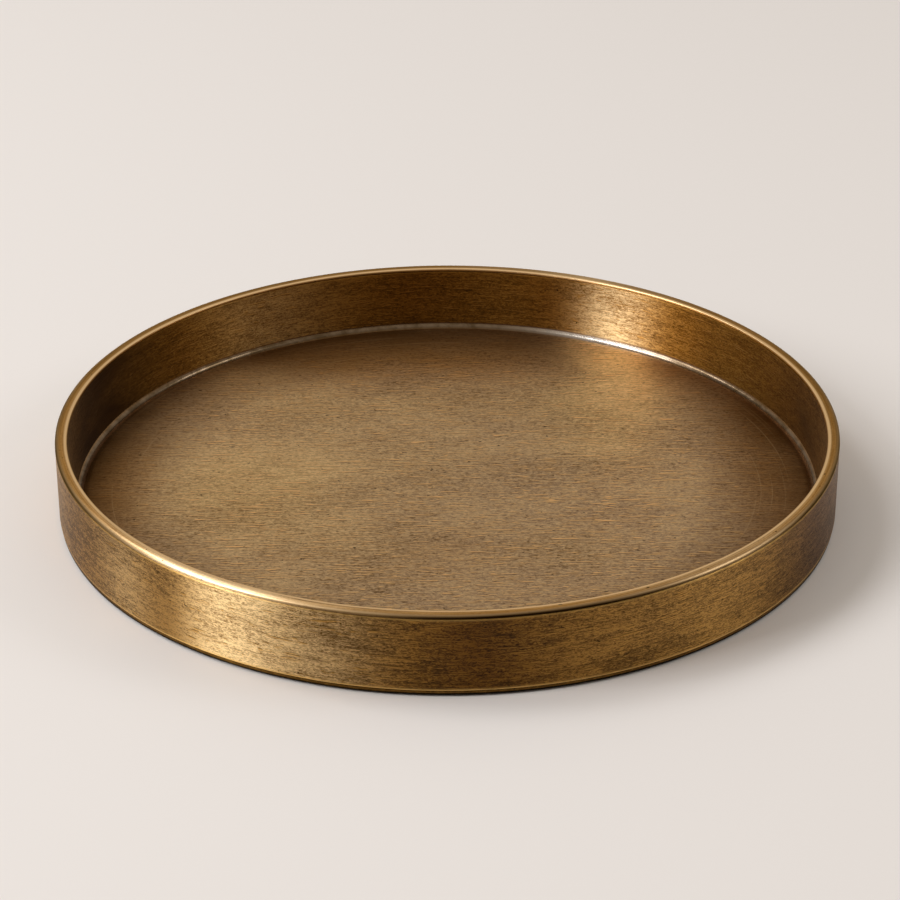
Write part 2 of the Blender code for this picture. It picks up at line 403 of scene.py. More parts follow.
@dataclass(frozen=True)
class AgedBrass(Finish):
    """Antique brass: rolled sheet, brushed one way, darkened with patina and rubbed back.

    To the eye it is a warm brown metal with cloudy patches, fine wavy grain, threads of bare
    golden metal along the brushing, each with a painted shadow below it, small dark pits, soiling
    and painted shade in its recesses, and edges made bright by wear and painted highlight. Patches
    of bare metal are painted as highlights and reflections. Its tone steps are where the four
    colours of the patina stand, and its rubbed steps where the two of bare metal do, as seen from
    the middle of the tone.
    """

    roughness: float = 0.46
    relief: float = 0.035 * MM
    grain: Grain = Grain.ROUND_AXIS
    radius: float = 150.0 * MM
    deep: str = "#3f2a10"
    patina: str = "#735736"
    ground: str = "#b99b79"
    bright: str = "#e0c08f"
    tone_steps: tuple[float, ...] = (-0.34, -0.16, 0.0, 0.16)
    # Bare metal, for thin patina and for painted highlights and reflections.
    rubbed_dark: str = "#8c6a3c"
    rubbed_and_highlight: str = "#efcd95"
    rubbed_steps: tuple[float, ...] = (-0.20, 0.10)
    thread: str = "#e2b169"
    pit: str = "#33240f"
    # Bright edges: wear and painted highlight.
    edge: str = "#e3bd7c"
    # Soiling and painted shade.
    grime_and_shade: str = "#1d1408"
    # Brown tint of stains and painted shade.
    stain_and_shade: str = "#ab9c7c"
    glancing: str = "#ffffff"
    patina_dulling: float = 0.06
    bright_polish: float = 0.05
    thread_polish: float = 0.08
    edge_roughness: float = 0.30
    anisotropy: float = 0.75
    highlight_turn: float = 0.25
    lacquer: float = 0.0
    lacquer_roughness: float = 0.22
    layers: tuple[Layer, ...] = SHEET_LAYERS
    threads: Threads = Threads()
    arcs: Threads | None = None
    pitting: Pattern = Pattern(2.4 * MM, 1.4 * MM, detail=2.0)
    pit_level: float = 0.69
    pit_fade: float = 0.06
    thread_relief: float = 0.5
    shade_relief: float = -0.6
    pit_relief: float = -0.8

    def surface(self, tree: Tree) -> tuple[dict[str, Any], dict[str, Socket], Socket]:
        """Adds the patina's nodes.

        Args:
            tree: The material's node tree.

        Returns:
            The surface's values, the sockets that feed it and the height of its relief.
        """
        turn = add_node(tree, "ShaderNodeAttribute", {"attribute_name": TURN}).outputs["Vector"]
        face = turned_face = Face(tree, turn, Grain.ROUND_AXIS, self.radius)
        heading = {"direction_type": "RADIAL", "axis": "Z"}
        if self.grain is Grain.ALONG_X:
            place = add_node(tree, "ShaderNodeTexCoord").outputs["Object"]
            face = Face(tree, place, self.grain, self.radius)
            heading = {"direction_type": "UV_MAP", "uv_map": BRUSHING}
        noises = [layer.pattern.add(face) for layer in self.layers]
        shares = [layer.tone_share for layer in self.layers]
        tone = self._sum(tree, noises, shares)
        lit, shade = self.threads.add(face)
        pits = add_node(
            tree,
            "ShaderNodeMapRange",
            values={"From Min": self.pit_level, "From Max": self.pit_level + self.pit_fade},
            links={"Value": self.pitting.add(face)},
        ).outputs[0]
        worn_and_glint, grimy_and_shaded, rubbed_and_highlight, stained_and_shaded = (
            self._uneven(tree, attribute, noises[layer], strength)
            for attribute, layer, strength in UNEVEN_EDGES
        )
        # Coats: the painted shadow below each thread, bare threads, pits, stains with painted
        # shade, edges bright with wear and painted highlight, and soiling with painted shade.
        coats = [
            (shade, self.patina, Blend.COVER),
            (lit, self.thread, Blend.COVER),
            (pits, self.pit, Blend.COVER),
            (stained_and_shaded, self.stain_and_shade, Blend.TINT),
            (worn_and_glint, self.edge, Blend.COVER),
            (grimy_and_shaded, self.grime_and_shade, Blend.COVER),
        ]
        if self.arcs:
            arc_lit = self.arcs.add(turned_face)[0]
            scored = add_node(
                tree, "ShaderNodeMath", {"operation": "MULTIPLY"}, links={0: arc_lit, 1: grimy_and_shaded}
            )
            coats.append((scored.outputs[0], self.bright, Blend.COVER))
        reliefs = [layer.relief_share for layer in self.layers]
        reliefs += [self.thread_relief, self.shade_relief, self.pit_relief]
        values = {
            "Metallic": 1.0,
            "Specular Tint": linear(self.glancing),
            "Anisotropic": self.anisotropy,
            "Anisotropic Rotation": self.highlight_turn,
            "Coat Weight": self.lacquer,
            "Coat Roughness": self.lacquer_roughness,
        }
        middle = 0.5 * sum(shares)
        links = {
            "Base Color": self._coated(tree, self._metal(tree, tone, rubbed_and_highlight, middle), coats),
            "Roughness": self._dulled(tree, tone, lit, worn_and_glint, middle),
            "Tangent": add_node(tree, "ShaderNodeTangent", heading).outputs[0],
        }
        return values, links, self._sum(tree, [*noises, lit, shade, pits], reliefs)

    def _sum(self, tree: Tree, sockets: list[Socket], shares: list[float]) -> Socket:
        """Adds up values, each times its share, and leaves out those with no share.

        Args:
            tree: The material's node tree.
            sockets: The values.
            shares: What each is multiplied by.

        Returns:
            The sum.
        """
        total = None
        for socket, share in zip(sockets, shares):
            if share == 0.0:
                continue
            links = {0: socket} if total is None else {0: socket, 2: total}
            total = add_node(
                tree, "ShaderNodeMath", {"operation": "MULTIPLY_ADD"}, {1: share, 2: 0.0}, links
            ).outputs[0]
        return total

    def _uneven(self, tree: Tree, attribute: str, noise: Socket, strength: float) -> Socket:
        """An attribute of the piece whose edge a noise makes uneven.

        The value is the attribute times one plus strength times the noise less its middle.

        Args:
            tree: The material's node tree.
            attribute: The attribute's name.
            noise: The noise.
            strength: How much the noise changes it.

        Returns:
            A value from zero to one.
        """
        stored = add_node(tree, "ShaderNodeAttribute", {"attribute_name": attribute})
        factor = add_node(
            tree,
            "ShaderNodeMath",
            {"operation": "MULTIPLY_ADD"},
            {1: strength, 2: 1.0 - 0.5 * strength},
            {0: noise},
        )
        return add_node(
            tree,
            "ShaderNodeMath",
            {"operation": "MULTIPLY", "use_clamp": True},
            links={0: stored.outputs["Fac"], 1: factor.outputs[0]},
        ).outputs[0]

    def _metal(self, tree: Tree, tone: Socket, rubbed_and_highlight: Socket, middle: float) -> Socket:
        """Colour of the metal before its coats: patina, and bare metal as thin patina and painted
        light.

        Args:
            tree: The material's node tree.
            tone: Light to dark.
            rubbed_and_highlight: One where the metal is painted bare, as thin patina and painted
                highlight.
            middle: The tone's middle value.

        Returns:
            The colour socket.
        """
        patinated, bared = (
            add_node(
                tree,
                "ShaderNodeValToRGB",
                links={0: tone},
                stops=tuple((middle + step, colour) for step, colour in zip(steps, colours)),
            ).outputs[0]
            for steps, colours in (
                (self.tone_steps, (self.deep, self.patina, self.ground, self.bright)),
                (self.rubbed_steps, (self.rubbed_dark, self.rubbed_and_highlight)),
            )
        )
        links = {AMOUNT: rubbed_and_highlight, COLOUR_BELOW: patinated, COLOUR_ABOVE: bared}
        return add_node(
            tree, "ShaderNodeMix", {"data_type": "RGBA"}, links=links
        ).outputs[MIXED_COLOUR]

    def _dulled(
        self, tree: Tree, tone: Socket, threads: Socket, worn_and_glint: Socket, middle: float
    ) -> Socket:
        """Roughness: patina is duller than bare metal, and a worn edge is smoothest.

        Args:
            tree: The material's node tree.
            tone: Light to dark.
            threads: One on a bare thread.
            worn_and_glint: One on an edge painted bright, as wear and painted highlight.
            middle: The tone's middle value.

        Returns:
            The roughness socket.
        """
        base = add_node(
            tree,
            "ShaderNodeMapRange",
            values={
                "From Min": middle + self.tone_steps[1],
                "From Max": middle + self.tone_steps[-1],
                "To Min": self.roughness + self.patina_dulling,
                "To Max": self.roughness - self.bright_polish,
            },
            links={"Value": tone},
        )
        thread = add_node(
            tree,
            "ShaderNodeMath",
            {"operation": "MULTIPLY_ADD"},
            {1: -self.thread_polish},
            {0: threads, 2: base.outputs[0]},
        )
        return add_node(
            tree,
            "ShaderNodeMix",
            {"data_type": "FLOAT"},
            {FLOAT_ABOVE: self.edge_roughness},
            {AMOUNT: worn_and_glint, FLOAT_BELOW: thread.outputs[0]},
        ).outputs[0]


@dataclass(frozen=True)
class SoftSolder(Finish):
    """Tin-lead solder, run by hand and wiped: grey, satin, with dross specks and warm edges.

    Its tones run from dull to plain grey, and dross shows where fine noise is above a level.
    A painted highlight makes it pale in patches.
    """

    name: str = "soft_solder"
    roughness: float = 0.25
    relief: float = 0.008 * MM
    lumps: Cloud = Cloud(5.0 * MM, 2.0, 0.4)
    specks: Cloud = Cloud(1.6 * MM, 1.0, 0.4)
    tones: tuple[tuple[float, str], ...] = ((0.38, "#66533c"), (0.60, "#84705a"))
    dross: str = "#3d3122"
    dross_level: float = 0.64
    dross_full: float = 0.76
    dross_share: float = 0.3
    flux: str = "#a57a46"
    # Pale grey of the painted highlight.
    bright: str = "#f0e6da"
    roughness_swing: float = 0.06

    def surface(self, tree: Tree) -> tuple[dict[str, Any], dict[str, Socket], Socket]:
        """Adds the solder's nodes.

        Args:
            tree: The material's node tree.

        Returns:
            The surface's values, the sockets that feed it and the height of its relief.
        """
        place = add_node(tree, "ShaderNodeTexCoord").outputs["Object"]
        lumps, specks = self.lumps.add(tree, place), self.specks.add(tree, place)
        grey = add_node(tree, "ShaderNodeValToRGB", links={0: lumps}, stops=self.tones)
        dross = add_node(
            tree,
            "ShaderNodeMapRange",
            values={
                "From Min": self.dross_level,
                "From Max": self.dross_full,
                "To Max": self.dross_share,
            },
            links={"Value": specks},
        )
        worn_and_glint, rubbed_and_highlight = (
            add_node(tree, "ShaderNodeAttribute", {"attribute_name": name}).outputs["Fac"]
            for name in (WORN_AND_GLINT, RUBBED_AND_HIGHLIGHT)
        )
        # Coats: dross, flux on the edges, and the painted highlight.
        coats = [
            (dross.outputs[0], self.dross, Blend.COVER),
            (worn_and_glint, self.flux, Blend.COVER),
            (rubbed_and_highlight, self.bright, Blend.COVER),
        ]
        low, high = self.roughness + self.roughness_swing, self.roughness - self.roughness_swing
        rough = add_node(
            tree,
            "ShaderNodeMapRange",
            values={"To Min": low, "To Max": high},
            links={"Value": lumps},
        )
        colour = self._coated(tree, grey.outputs[0], coats)
        return {"Metallic": 1.0}, {"Base Color": colour, "Roughness": rough.outputs[0]}, lumps


@dataclass(frozen=True)
class MouldedRubber(Finish):
    """Black styrene rubber, moulded: matt, finely grained, greyed by dust on its worn edge."""

    name: str = "moulded_rubber"
    roughness: float = 0.78
    relief: float = 0.04 * MM
    dust: Cloud = Cloud(5.0 * MM, 4.0)
    pebble: Cloud = Cloud(0.35 * MM, 1.0)
    tones: tuple[tuple[float, str], ...] = ((0.42, "#1d1c1b"), (0.95, "#3b3733"))
    dust_on_edge: float = 0.6
    roughness_swing: float = 0.1
    ior: float = 1.52

    def surface(self, tree: Tree) -> tuple[dict[str, Any], dict[str, Socket], Socket]:
        """Adds the rubber's nodes.

        Args:
            tree: The material's node tree.

        Returns:
            The surface's values, the sockets that feed it and the height of its relief.
        """
        place = add_node(tree, "ShaderNodeTexCoord").outputs["Object"]
        dust, pebble = self.dust.add(tree, place), self.pebble.add(tree, place)
        worn_and_glint = add_node(tree, "ShaderNodeAttribute", {"attribute_name": WORN_AND_GLINT}).outputs["Fac"]
        amount = add_node(
            tree,
            "ShaderNodeMath",
            {"operation": "MULTIPLY_ADD", "use_clamp": True},
            {1: self.dust_on_edge},
            {0: worn_and_glint, 2: dust},
        )
        colour = add_node(
            tree, "ShaderNodeValToRGB", links={0: amount.outputs[0]}, stops=self.tones
        )
        low, high = self.roughness - self.roughness_swing, self.roughness + self.roughness_swing
        rough = add_node(
            tree,
            "ShaderNodeMapRange",
            values={"To Min": low, "To Max": high},
            links={"Value": dust},
        )
        links = {"Base Color": colour.outputs[0], "Roughness": rough.outputs[0]}
        return {"IOR": self.ior}, links, pebble


@dataclass(frozen=True)
class Patch:
    """A place round the tray, in degrees, painted lighter or darker as patina, stains, and painted
    light and shade.
    """

    azimuth: float
    half_width: float
    amount: float


@dataclass(frozen=True)
class Corner:
    """A corner of a turned outline.

    Its easing reaches `back` along the side before it and `onward` along the side after it.
    """

    radius: float
    height: float
    back: float = 0.0
    onward: float = 0.0


@dataclass(frozen=True)
class Mark:
    """A line of wear and painted highlight, or soiling and painted shade, round a turned piece,
    which fades away from its own section point.
    """

    radius: float
    height: float
    fade: float
    amount: float = 1.0


@dataclass
class Outline:
    """Closed section of a turned piece, clockwise with the axis at its left.

    An eased corner is a quarter of an ellipse. Points crowd towards the corners of each side,
    by half a cosine wave, so that marks there fade over many faces.
    """

    corners: list[Corner]
    worn_and_glint: tuple[Mark, ...] = ()
    grimy_and_shaded: tuple[Mark, ...] = ()
    ease_steps: int = 8
    side_spacing: float = 1.0 * MM
    extra_steps: int = 4
    least_steps: int = 2

    def trace(self) -> tuple[np.ndarray, ...]:
        """Works out the section's points.

        Returns:
            Radius, height, length along the outline, wear with painted highlight, and soiling with
            painted shade, one value for each point.
        """
        places = np.array([(corner.radius, corner.height) for corner in self.corners])
        before = np.roll(places, 1, axis=0) - places
        after = np.roll(places, -1, axis=0) - places
        before /= np.linalg.norm(before, axis=1, keepdims=True)
        after /= np.linalg.norm(after, axis=1, keepdims=True)
        turn = np.linspace(0.0, math.pi / 2.0, self.ease_steps + 1)[:, None]
        arcs = [
            place
            + back * corner.back * (1.0 - np.sin(turn))
            + onward * corner.onward * (1.0 - np.cos(turn))
            if corner.back else place[None, :]
            for corner, place, back, onward in zip(self.corners, places, before, after)
        ]
        points = []
        for index, arc in enumerate(arcs):
            following = arcs[(index + 1) % len(arcs)][0]
            length = float(np.linalg.norm(following - arc[-1]))
            steps = max(self.least_steps, round(length / self.side_spacing) + self.extra_steps)
            share = (1.0 - np.cos(np.linspace(0.0, math.pi, steps + 1)[1:-1])) / 2.0
            points += [arc, arc[-1] + (following - arc[-1]) * share[:, None]]
        section = np.concatenate(points)
        steps_along = np.linalg.norm(np.diff(section, axis=0), axis=1)
        along = np.concatenate(([0.0], np.cumsum(steps_along)))
        worn_and_glint, dirt_and_shade = self._strength(section, self.worn_and_glint), self._strength(section, self.grimy_and_shaded)
        return section[:, 0], section[:, 1], along, worn_and_glint, dirt_and_shade

    def _strength(self, section: np.ndarray, marks: tuple[Mark, ...]) -> np.ndarray:
        """How strongly marks show: the most of amount times e to the minus square of way / fade.

        Args:
            section: The section's points.
            marks: The marks.

        Returns:
            One value for each point.
        """
        strength = np.zeros(len(section))
        for mark in marks:
            away = np.linalg.norm(section - (mark.radius, mark.height), axis=1) / mark.fade
            strength = np.maximum(strength, mark.amount * np.exp(-(away**2)))
        return strength


def add_mesh(name: str, points: np.ndarray, faces: list[list[int]]) -> Piece:
    """Puts a worked-out surface into a new object at the origin.

    Args:
        name: The piece's name.
        points: Places of the vertices, with X, Y and Z last.
        faces: Vertex numbers of each face.

    Returns:
        The new object, smooth between its crisp edges.
    """
    mesh = bpy.data.meshes.new(name)
    mesh.from_pydata(points.reshape(-1, 3).tolist(), [], faces)
    mesh.shade_smooth()
    mesh.set_sharp_from_angle(angle=SHARP_ANGLE)
    made = bpy.data.objects.new(name, mesh)
    bpy.context.scene.collection.objects.link(made)
    return made


def set_attribute(
    piece: Piece, name: str, values: np.ndarray, shape: tuple[int, ...], poles: Poles = ()
) -> None:
    """Stores a value for each vertex of a piece, whose vertices are a grid and then its poles.

    Args:
        piece: The object.
        name: The attribute's name.
        values: The values, which are spread over the grid.
        shape: The grid's rows and columns, and then 3 if each value is a vector.
        poles: The poles' values.
    """
    kind, key = ("FLOAT", "value") if len(shape) == 2 else ("FLOAT_VECTOR", "vector")
    attribute = piece.data.attributes.new(name, kind, "POINT")
    stored = np.concatenate((np.broadcast_to(values, shape).ravel(), np.ravel(poles)))
    attribute.data.foreach_set(key, stored.astype(np.float32))


def round_axis(steps: int) -> np.ndarray:
    """Angles of evenly spaced sections round the axis, one in each row."""
    return np.linspace(0.0, FULL_TURN, steps, endpoint=False)[:, None]


def spun(angle: np.ndarray, radius: np.ndarray, height: np.ndarray) -> np.ndarray:
    """Carries points round the axis, to (radius cos a, radius sin a, height) for each angle a.

    Args:
        angle: Angles, one in each row.
        radius: The points' radii, one in each column.
        height: Their heights.

    Returns:
        A grid of places.
    """
    across, along = radius * np.cos(angle), radius * np.sin(angle)
    return np.stack((across, along, np.broadcast_to(height, across.shape)), axis=-1)


def ring_faces(rows: int, columns: int, poles: bool = False) -> list[list[int]]:
    """Faces of sections carried round the axis: vertex (row, column) is row * columns + column.

    Args:
        rows: Number of sections.
        columns: Number of points in each.
        poles: True if a section's ends are joined to two poles, the vertices after the grid's,
            and not to each other.

    Returns:
        Vertex numbers of each face.
    """
    row = np.arange(rows)[:, None]
    column = np.arange(columns - 1 if poles else columns)[None, :]
    next_row, next_column = (row + 1) % rows, (column + 1) % columns
    corners = (
        row * columns + column,
        row * columns + next_column,
        next_row * columns + next_column,
        next_row * columns + column,
    )
    faces = np.stack(corners, axis=-1).reshape(-1, 4).tolist()
    if poles:
        first = np.arange(rows) * columns
        following = np.roll(first, -1)
        pole = np.full(rows, rows * columns)
        faces += np.stack((pole, first, following), axis=1).tolist()
        ends = (pole + 1, following + columns - 1, first + columns - 1)
        faces += np.stack(ends, axis=1).tolist()
    return faces


def waves(angle: np.ndarray, counts: range, seed: int) -> np.ndarray:
    """A smooth uneven value round the tray.

    It is a sum of cosine waves, one for each whole number of waves a turn, with phases and
    heights drawn from a seeded generator, scaled to lie between -1 and 1. No height is drawn
    near zero, so that no wave is lost.

    Args:
        angle: Angles round the axis.
        counts: How many waves a turn each term has.
        seed: Seed of the draw.

    Returns:
        One value for each angle.
    """
    draw = np.random.default_rng(seed)
    count = np.array(counts)
    phase = draw.uniform(0.0, FULL_TURN, len(count))
    height = draw.uniform(*WAVE_HEIGHTS, len(count))
    value = (height * np.cos(angle[..., None] * count + phase)).sum(axis=-1)
    return value / np.abs(value).max()


def spread(angle: np.ndarray, patches: tuple[Patch, ...]) -> np.ndarray:
    """How strong some patches are round the tray.

    It is a sum of bells. Each is its amount times e to the minus square of the angle from its
    azimuth over its half width.

    Args:
        angle: Angles round the axis.
        patches: The patches.

    Returns:
        One value for each angle.
    """
    total = np.zeros_like(angle)
    for patch in patches:
        off = angle - math.radians(patch.azimuth)
        off = (off + math.pi) % FULL_TURN - math.pi
        total += patch.amount * np.exp(-((off / math.radians(patch.half_width)) ** 2))
    return total


def settle(piece: Piece, material: bpy.types.Material, node: str) -> None:
    """Gives a piece its finish and its place in the frame.

    Args:
        piece: The new object.
        material: Its finish.
        node: The CAD node that it stands for.
    """
    piece.data.materials.append(material)
    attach(piece, BODY)
    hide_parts(node)
    log.info("%s: %d vertices", piece.name, len(piece.data.vertices))


@dataclass
class Part:
    """A sub-assembly that stands for one CAD node. Each kind builds its own piece."""

    node: str
    slot: str
    finish: Finish

    def dress(self, piece: Piece) -> None:
        """Puts the part's finish on its piece."""
        settle(piece, self.finish.material(), self.node)


@dataclass
class TurnedPart(Part):
    """A part whose outline is carried round the axis.

    Its unevenness draws the surface inwards by up to that length, as a smooth value of the angle
    that drifts with height. Some patches are painted bare, as thin patina and painted highlight;
    some are tinted brown, as stains and painted shade; and some are painted dark as shade.
    """

    piece_name: str
    steps: int = 768
    unevenness: float = 0.0
    drift: float = 0.15
    wave_counts: range = range(3, 40)
    seed: int = 1
    rubbed_and_highlight: tuple[Patch, ...] = ()
    stained_and_shaded: tuple[Patch, ...] = ()
    painted_shade: tuple[Patch, ...] = ()

    def outline(self) -> Outline:
        """Works out the part's section, in each kind's own way."""
        raise NotImplementedError

    def build(self) -> Piece:
        """Carries the outline round the axis.

        Returns:
            The new object, with its grain coordinates, wear, soiling, and painted light and shade
            as attributes.
        """
        radius, height, along, worn_and_glint, dirt_and_shade = self.outline().trace()
        angle = round_axis(self.steps)
        risen = (height - height.min()) / max(np.ptp(height), MM)
        uneven = waves(angle + self.drift * risen[None, :], self.wave_counts, self.seed)
        reach = radius[None, :] - self.unevenness * (0.5 + 0.5 * uneven)
        shape = reach.shape
        piece = add_mesh(self.piece_name, spun(angle, reach, height), ring_faces(*shape))
        turn = np.stack(np.broadcast_arrays(np.cos(angle), np.sin(angle), along), axis=-1)
        set_attribute(piece, TURN, turn, (*shape, 3))
        # Patches painted bare as thin patina and painted highlight, dark as painted shade, and
        # tinted as stains and painted shade.
        bare = np.clip(spread(angle, self.rubbed_and_highlight), 0.0, 1.0)
        dirt_and_shade = np.maximum(dirt_and_shade[None, :], spread(angle, self.painted_shade)) * (1.0 - bare)
        film_and_shade = spread(angle, self.stained_and_shaded)
        for name, values in ((WORN_AND_GLINT, worn_and_glint), (GRIMY_AND_SHADED, dirt_and_shade), (RUBBED_AND_HIGHLIGHT, bare), (STAINED_AND_SHADED, film_and_shade)):
            set_attribute(piece, name, values, shape)
        return piece


@dataclass
class RimRing(TurnedPart):
    """The flat cap of the wall, with a tongue that seats between the two bands.

    A painted highlight lightens its shoulder at a point given as shares of its width and drop.
    """

    node: str = "rim_ring"
    slot: str = "rim_brass"
    # Brass brushed round the ring, golden and fairly clean, with its lip and shoulder painted
    # bright as highlights and its groove painted dark as shade.
    finish: Finish = AgedBrass(
        "rim_brass",
        patina="#755325",
        ground="#ac8046",
        bright="#cda064",
        rubbed_and_highlight="#fcdeb0",
        edge="#fedba8",
        grime_and_shade="#241505",
        roughness=0.42,
        edge_roughness=0.30,
        glancing="#e8d6ba",
        anisotropy=0.2,
        threads=Threads(share=0.2, shade_share=0.1),
        layers=RIM_LAYERS,
        relief=0.012 * MM,
    )
    piece_name: str = "rim"
    unevenness: float = 0.01 * MM
    seed: int = 3
    # Patches painted pale as the lamps' highlights, at the front left, front right and back right.
    rubbed_and_highlight: tuple[Patch, ...] = (
        Patch(-123.0, 20.0, 1.0),
        Patch(-48.0, 15.0, 0.4),
        Patch(66.0, 14.0, 0.8),
    )
    width: float = 4.65 * MM
    thickness: float = 1.0 * MM
    shoulder_width: float = 1.4 * MM
    shoulder_drop: float = 0.85 * MM
    painted_glint: tuple[float, float] = (0.5, 0.4)
    ease_width: float = 0.7 * MM
    ease_drop: float = 0.5 * MM
    crown: float = math.radians(26.0)
    crown_reach: float = 0.01 * MM
    tongue_inset_outside: float = 1.5 * MM
    tongue_inset_inside: float = 1.3 * MM
    lower_ease: float = 0.15 * MM
    side_spacing: float = 0.3 * MM

    def outline(self) -> Outline:
        """Works out the cap's section, with its tongue.

        Returns:
            The outline.
        """
        low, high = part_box(self.node)
        outside, inside = high.x, high.x - self.width
        underside = high.z - self.thickness
        tongue_outside = outside - self.tongue_inset_outside
        tongue_inside = inside + self.tongue_inset_inside
        corners = [
            Corner(tongue_inside, low.z),
            Corner(tongue_inside, underside),
            Corner(inside, underside, self.lower_ease, self.lower_ease),
            Corner(inside, high.z, self.ease_drop, self.ease_width),
            Corner(outside, high.z, self.shoulder_width, self.shoulder_drop),
            Corner(outside, underside, self.lower_ease, self.lower_ease),
            Corner(tongue_outside, underside),
            Corner(tongue_outside, low.z),
        ]
        painted_glint_radius = outside - self.painted_glint[0] * self.shoulder_width
        painted_glint_height = high.z - self.painted_glint[1] * self.shoulder_drop
        # Painted highlights: the bright line of the inner lip and the shine on the shoulder.
        worn_and_glint = (
            Mark(inside + self.ease_width, high.z, fade=0.55 * MM, amount=1.5),
            Mark(painted_glint_radius, painted_glint_height, fade=0.5 * MM, amount=0.5),
        )
        # Painted shade: the groove under the shoulder and the tongue inside the joint.
        grimy_and_shaded = (
            Mark(outside, underside, fade=1.3 * MM),
            Mark(tongue_outside, low.z, fade=2.0 * MM),
            Mark(tongue_inside, low.z, fade=2.0 * MM),
        )
        return Outline(corners, worn_and_glint, grimy_and_shaded, side_spacing=self.side_spacing)

    def build(self) -> Piece:
        """Turns the ring and shades its flat land as if it were slightly crowned.

        A spun ring is crowned. On the land the normal leans outwards, from upright at its start
        to the crown's angle at its end. On the shoulder it goes on from there to level, in step
        with its true lean.

        Returns:
            The new object.
        """
        piece = super().build()
        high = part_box(self.node)[1]
        start = high.x - self.width + self.ease_width
        end = high.x - self.shoulder_width
        mesh = piece.data
        places, normals = (np.empty(len(mesh.vertices) * 3, np.float32) for _ in range(2))
        mesh.vertices.foreach_get("co", places)
        mesh.vertex_normals.foreach_get("vector", normals)
        places, normals = places.reshape(-1, 3), normals.reshape(-1, 3)
        radius = np.linalg.norm(places[:, :2], axis=1)
        outward = places[:, :2] / radius[:, None]
        lean = np.arctan2((normals[:, :2] * outward).sum(axis=1), normals[:, 2])
        share = np.clip((radius - start) / (end - start), 0.0, 1.0)
        lean = self.crown * share + lean * (1.0 - self.crown * share / (math.pi / 2.0))
        crowned = np.concatenate((outward * np.sin(lean)[:, None], np.cos(lean)[:, None]), axis=1)
        lowest = high.z - self.shoulder_drop - self.crown_reach
        on_top = (places[:, 2] > lowest) & (radius > start)
        mesh.normals_split_custom_set_from_vertices(np.where(on_top[:, None], crowned, 0.0))
        return piece


@dataclass
class OuterBand(TurnedPart):
    """The upright outer skin, with an arris along its top and bottom painted bright as wear and
    painted highlight.
    """

    node: str = "outer_band"
    slot: str = "outer_brass"
    # Brass under a thin lacquer, whose dark wormy patina is painted golden as the key light's
    # highlight and as thin patina, and darker beside it as painted shade.
    finish: Finish = AgedBrass(
        "outer_wall_brass",
        deep="#2b1e08",
        patina="#5a4016",
        ground="#8a6229",
        bright="#ba893d",
        rubbed_dark="#7a5322",
        rubbed_and_highlight="#f0d098",
        thread="#cf9b4c",
        edge="#f2c372",
        roughness=0.54,
        edge_roughness=0.42,
        anisotropy=0.92,
        lacquer=0.12,
        layers=WALL_LAYERS,
        threads=WALL_THREADS,
        pit_level=0.73,
    )
    piece_name: str = "outer_wall"
    unevenness: float = 0.05 * MM
    seed: int = 11
    # Patches painted golden: the key light's highlight at the front left, and thinner patina
    # elsewhere.
    rubbed_and_highlight: tuple[Patch, ...] = (
        Patch(-120.0, 8.5, 1.0),
        Patch(-107.0, 7.0, 0.6),
        Patch(-141.0, 6.5, 0.45),
        Patch(-50.0, 24.0, 0.1),
        Patch(15.0, 22.0, 0.35),
        Patch(88.0, 18.0, 0.6),
        Patch(158.0, 24.0, 0.4),
    )
    # Patches painted darker as shade: beside the highlight, at the front and at the right.
    stained_and_shaded: tuple[Patch, ...] = (
        Patch(-131.0, 5.0, 0.6),
        Patch(-86.0, 11.0, 0.9),
        Patch(-14.0, 22.0, 1.4),
    )
    thickness: float = 1.2 * MM
    arris_width: float = 0.4 * MM
    arris_drop: float = 0.6 * MM

    def outline(self) -> Outline:
        """Works out the band's section.

        Returns:
            The outline.
        """
        low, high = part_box(self.node)
        outside, inside = high.x, high.x - self.thickness
        corners = [
            Corner(inside, high.z),
            Corner(outside, high.z, self.arris_width, self.arris_drop),
            Corner(outside, low.z, self.arris_drop, self.arris_width),
            Corner(inside, low.z),
        ]
        # Arrises painted bright, as wear and painted highlight.
        worn_and_glint = (
            Mark(outside, high.z, fade=0.5 * MM, amount=0.55),
            Mark(outside, low.z, fade=0.7 * MM),
        )
        # Painted shade in the joints at the band's inner top and bottom.
        grimy_and_shaded = (Mark(inside, high.z, fade=0.6 * MM), Mark(inside, low.z, fade=0.6 * MM))
        return Outline(corners, worn_and_glint, grimy_and_shaded)


